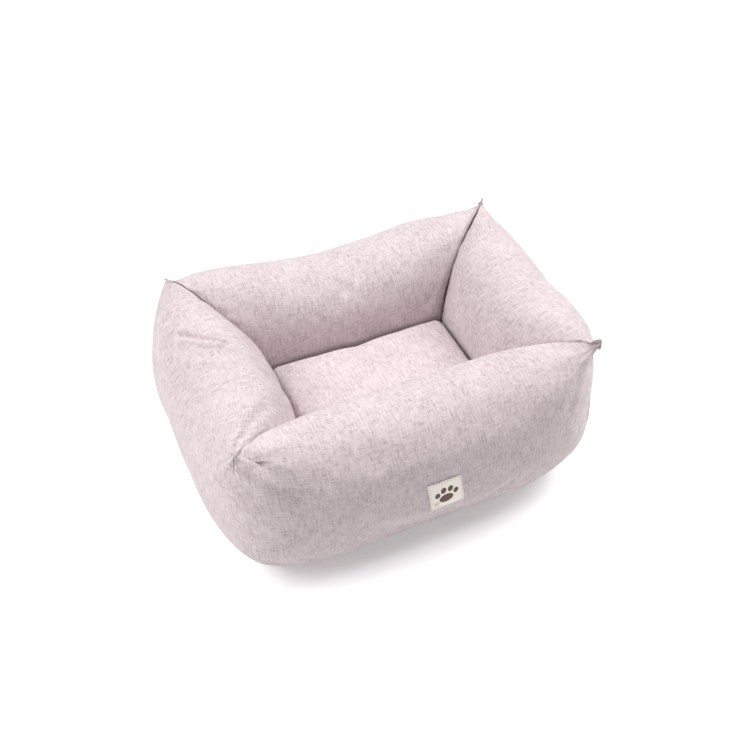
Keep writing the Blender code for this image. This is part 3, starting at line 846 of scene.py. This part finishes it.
def make_base():
    deck_low, deck_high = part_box("deck_panel")
    deck = make_plate("deck", deck_high[0], deck_high[1], 0.006, deck_low[2], deck_high[2], LINING, 0.0012)
    pad_low, pad_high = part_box("base_pad")
    pad = make_plate("base_pad_wadding", pad_high[0], pad_high[1], 0.006, pad_low[2], pad_high[2],
                     WADDING, 0.010)
    low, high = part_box("bottom_panel")
    under = make_plate("underside", high[0], high[1], 0.068, low[2], high[2], NONSLIP, 0.0014)
    for piece, node, slot in ((deck, "deck_panel", "lining"), (pad, "base_pad", "wadding"),
                              (under, "bottom_panel", "underside")):
        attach(piece, "bed")
        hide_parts(node)


# ---- cushion ---------------------------------------------------------------------------
def make_cushion():
    """A boxy pillow: superellipse edges above and below the edge seam, a low crown on top,
    and a slot underneath for the zip."""
    half_x, half_y = CUSHION_HIGH[0], CUSHION_HIGH[1]
    zip_low, zip_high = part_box("zip_slider")
    tape_low, tape_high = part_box("zip_tape_front")
    slot_y = (zip_low[1] + zip_high[1]) / 2
    slot_x = tape_high[0] + 0.0012
    slot_half = 0.0062
    steps = np.array([-0.0014, -0.0004, 0.0004, 0.0014])
    x_lines = lines_across(half_x, np.concatenate([-slot_x + steps, slot_x + steps]))
    y_lines = lines_across(half_y, np.concatenate([slot_y - slot_half + steps, slot_y + slot_half + steps]))
    x, y, inside = on_plate(half_x, half_y, 0.020, x_lines, y_lines)
    top, bottom = CUSHION_HIGH[2] - 0.003, CUSHION_LOW[2]
    crown = 0.004 * smooth(inside, 0.006, half_y)
    upper = EDGE_SEAM_Z + dome(inside, 0.014, top - EDGE_SEAM_Z, 2.4) + crown
    slot = (smooth(slot_x - np.abs(x), -0.0006, 0.0006)
            * smooth(slot_half - np.abs(y - slot_y), -0.0006, 0.0006))
    lower = (EDGE_SEAM_Z - dome(inside, 0.026, EDGE_SEAM_Z - bottom, 2.6)
             + slot * (zip_high[2] + 0.0006 - bottom))
    fallen = (top - np.minimum(upper, top))
    bearing = np.stack([x, y], -1) / np.maximum(np.hypot(x, y), 1e-6)[..., None]
    cloth = np.stack([x, y], -1) + bearing * fallen[..., None]
    mesh = envelope("cushion", np.stack([x, y, upper], -1), np.stack([x, y, lower], -1), cloth)
    cushion = add_piece("cushion", mesh, LINEN)
    flat = read_points(mesh)
    seam = np.abs(flat[:, 2] - EDGE_SEAM_Z) < 0.001
    middle = (np.abs(flat[:, 0]) < half_x - 0.02) & (np.abs(flat[:, 1]) < half_y - 0.02)
    under = (flat[:, 2] < EDGE_SEAM_Z) & middle
    inflate(cushion, (seam | under).astype(float), 1.4, 0.015, 0.004)
    flat = read_points(mesh)
    flat[:, 0] = flat[:, 0].clip(-half_x, half_x)
    flat[:, 1] = flat[:, 1].clip(-half_y, half_y)
    flat[:, 2] = np.maximum(flat[:, 2], bottom)
    write_points(mesh, flat)
    subdivide(cushion)
    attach(cushion, "cushion")
    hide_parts("cushion_top_panel", "cushion_bottom_panel", "cushion_fill")


# ---- label -----------------------------------------------------------------------------
LABEL_LEAN = 0.17                      # its top is sewn on this far to the left per height


def make_label(wall):
    """The label and its stitching, laid on the front wall's own surface."""
    tree = BVHTree.FromObject(wall, bpy.context.evaluated_depsgraph_get())
    centre_x = (LABEL_LOW[0] + LABEL_HIGH[0]) / 2 - 0.002
    centre_z = (LABEL_LOW[2] + LABEL_HIGH[2]) / 2 + 0.0025
    width, height = LABEL_HIGH[0] - LABEL_LOW[0], LABEL_HIGH[2] - LABEL_LOW[2]
    corners = np.array([[side * width / 2 - LABEL_LEAN * rise * height / 2, rise * height / 2]
                        for side, rise in ((-1, -1), (1, -1), (1, 1), (-1, 1))])

    def on_wall(across, up):
        """Bilinear places between the four corners, dropped onto the wall along Y."""
        weights = ((1 - across) * (1 - up), across * (1 - up), across * up, (1 - across) * up)
        flat = sum(w[..., None] * c for w, c in zip(weights, corners))
        hits = [tree.ray_cast(Vector((centre_x + x, -1.0, centre_z + z)), Vector((0, 1, 0)))
                for x, z in flat.reshape(-1, 2)]
        shape = flat.shape[:-1] + (3,)
        return (np.array([h[0] for h in hits]).reshape(shape),
                np.array([h[1] for h in hits]).reshape(shape), flat)

    across, up = np.meshgrid(np.linspace(0, 1, 31), np.linspace(0, 1, 31), indexing="ij")
    place_on, normal, flat = on_wall(across, up)
    edge = np.minimum(np.minimum(across, 1 - across), np.minimum(up, 1 - up))
    ripple = 0.5 + 0.5 * np.sin(across * 40) * np.sin(up * 40)
    lift = 0.0006 + 0.0009 * smooth(0.06 - edge, 0.0, 0.06) * ripple
    thick = 0.0007 * smooth(edge, 0.0, 0.02)
    upper = place_on + normal * (lift + thick)[..., None]
    lower = place_on + normal * lift[..., None]
    mesh = envelope("label_cloth", upper, lower, flat)
    label = add_piece("label_cloth", mesh, LABEL)
    subdivide(label)
    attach(label, "bed")
    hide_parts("label")

    # running stitches: each an arched grain of thread along one side of the label
    start = np.arange(11) / 11 * 0.90 + 0.07
    side = np.stack([start, start + 0.045], -1)
    runs = [(side, 0 * side + 0.05), (side, 0 * side + 0.95),
            (0 * side + 0.05, side), (0 * side + 0.95, side)]
    ends_across = np.concatenate([r[0] for r in runs])
    ends_up = np.concatenate([r[1] for r in runs])
    share = np.linspace(0, 1, 7)
    path_across = ends_across[:, :1] + (ends_across[:, 1:] - ends_across[:, :1]) * share
    path_up = ends_up[:, :1] + (ends_up[:, 1:] - ends_up[:, :1]) * share
    path, normal, _ = on_wall(path_across, path_up)
    arch = np.sin(share * math.pi)
    path = path + normal * (0.0012 + 0.0005 * arch)[None, :, None]
    forward = np.gradient(path, axis=1)
    forward /= np.linalg.norm(forward, axis=2, keepdims=True)
    sideways = np.cross(normal, forward)
    angle = np.arange(6) * math.pi / 3
    radius = (0.00045 * np.sqrt(np.clip(1 - (2 * share - 1) ** 4, 0, 1)) + 0.00003)[None, :, None, None]
    ring = (path[:, :, None] + radius * (np.cos(angle)[:, None] * sideways[:, :, None]
                                         + np.sin(angle)[:, None] * normal[:, :, None]))
    count, along, sides = ring.shape[:3]
    quads, _, _ = quads_of(along, sides, True)
    offset = (np.arange(count) * along * sides)[:, None, None]
    faces = (quads[None] + offset).reshape(-1, 4).tolist()
    caps = np.stack([np.arange(sides)[::-1], np.arange(sides) + (along - 1) * sides])
    faces += (caps[None] + offset).reshape(-1, sides).tolist()
    verts = ring.reshape(-1, 3)
    loops = np.concatenate([np.array(f) for f in faces])
    mesh = new_mesh("label_stitches", verts, faces, verts[loops][:, (0, 2)])
    stitches = add_piece("label_stitches", mesh, STITCH)
    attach(stitches, "bed")
    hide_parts("label_stitching")


# ---- stage, light and camera -----------------------------------------------------------
def make_camera():
    """A short telephoto from the front left, above the bed."""
    azimuth, elevation, distance = math.radians(-24.1), math.radians(43.6), 1.520
    target = Vector((0.052, 0.120, 0.0))
    back = Vector((math.sin(azimuth) * math.cos(elevation), -math.cos(azimuth) * math.cos(elevation),
                   math.sin(elevation)))
    data = bpy.data.cameras.new("camera")
    data.sensor_width = 36.0
    data.lens = 48.0
    data.clip_start = 0.01
    camera = bpy.data.objects.new("camera", data)
    bpy.context.scene.collection.objects.link(camera)
    camera.location = target + back * distance
    camera.rotation_euler = back.to_track_quat("Z", "Y").to_euler()
    bpy.context.scene.camera = camera


def make_stage():
    """A pale floor that glows more the further out it lies, and a white backdrop dome."""
    f = Finish("pale_floor", 0.9)
    f.set("Base Color", (0.93, 0.93, 0.93, 1.0))
    where = f.node("TexCoord", None, None, 3)
    far = f.node("MapRange", {"interpolation_type": "SMOOTHSTEP"},
                 {"Value": f.node("VectorMath", {"operation": "LENGTH"}, {0: where}, 1),
                  "From Min": 0.7, "From Max": 2.2, "To Min": 0.0, "To Max": 1.0})
    f.set("Emission Color", f.mix(far, (0.27, 0.27, 0.27, 1.0), (1.0, 1.0, 1.0, 1.0)))
    f.set("Emission Strength", 1.0)
    bm = bmesh.new()
    bmesh.ops.create_circle(bm, cap_ends=True, radius=5.5, segments=96)
    mesh = bpy.data.meshes.new("floor")
    bm.to_mesh(mesh)
    bm.free()
    mesh.materials.append(f.material)
    floor = bpy.data.objects.new("floor", mesh)
    bpy.context.scene.collection.objects.link(floor)

    glow = Finish("white_backdrop", 1.0)
    glow.set("Base Color", (0.0, 0.0, 0.0, 1.0))
    glow.set("Emission Color", (1.0, 1.0, 1.0, 1.0))
    glow.set("Emission Strength", 1.0)
    bm = bmesh.new()
    bmesh.ops.create_uvsphere(bm, u_segments=64, v_segments=32, radius=5.4)
    mesh = bpy.data.meshes.new("backdrop")
    bm.to_mesh(mesh)
    bm.free()
    mesh.materials.append(glow.material)
    backdrop = bpy.data.objects.new("backdrop", mesh)
    bpy.context.scene.collection.objects.link(backdrop)
    for ray in ("diffuse", "glossy", "transmission", "volume_scatter", "shadow"):
        setattr(backdrop, "visible_" + ray, False)

    world = bpy.data.worlds.new("studio")
    bpy.context.scene.world = world
    world.use_nodes = True
    background = world.node_tree.nodes["Background"]
    background.inputs["Color"].default_value = (1.0, 1.0, 1.0, 1.0)
    background.inputs["Strength"].default_value = 0.01
    for name, azimuth, elevation, power in (("left_softbox", 180, 50, 48.0), ("right_softbox", 0, 50, 50.0),
                                            ("right_low_softbox", 0, 22, 9.0), ("back_softbox", 90, 22, 5.0),
                                            ("back_left_softbox", 135, 50, 8.0), ("top_softbox", 0, 90, 7.0)):
        angle, rise = math.radians(azimuth), math.radians(elevation)
        towards = Vector((math.cos(angle) * math.cos(rise), math.sin(angle) * math.cos(rise), math.sin(rise)))
        data = bpy.data.lights.new(name, "AREA")
        data.size = 1.5
        data.energy = power
        light = bpy.data.objects.new(name, data)
        bpy.context.scene.collection.objects.link(light)
        light.location = towards * 2.4 + Vector((0, 0, 0.1))
        light.rotation_euler = towards.to_track_quat("Z", "Y").to_euler()
    bpy.context.scene.view_settings.view_transform = "Standard"


make_camera()
make_stage()
make_base()
walls = {side: make_wall(side) for side in WALLS}
for corner_name in CORNER_NAMES:
    make_corner_seam(corner_name)
make_cushion()
make_label(walls["front"])

for node, material in (("zip_tape_front", TAPE), ("zip_tape_rear", TAPE),
                       ("zip_coil_front", COIL), ("zip_coil_rear", COIL), ("zip_stop_open", METAL),
                       ("zip_stop_closed", METAL), ("zip_slider", METAL)):
    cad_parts[node].data.materials.clear()
    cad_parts[node].data.materials.append(material)
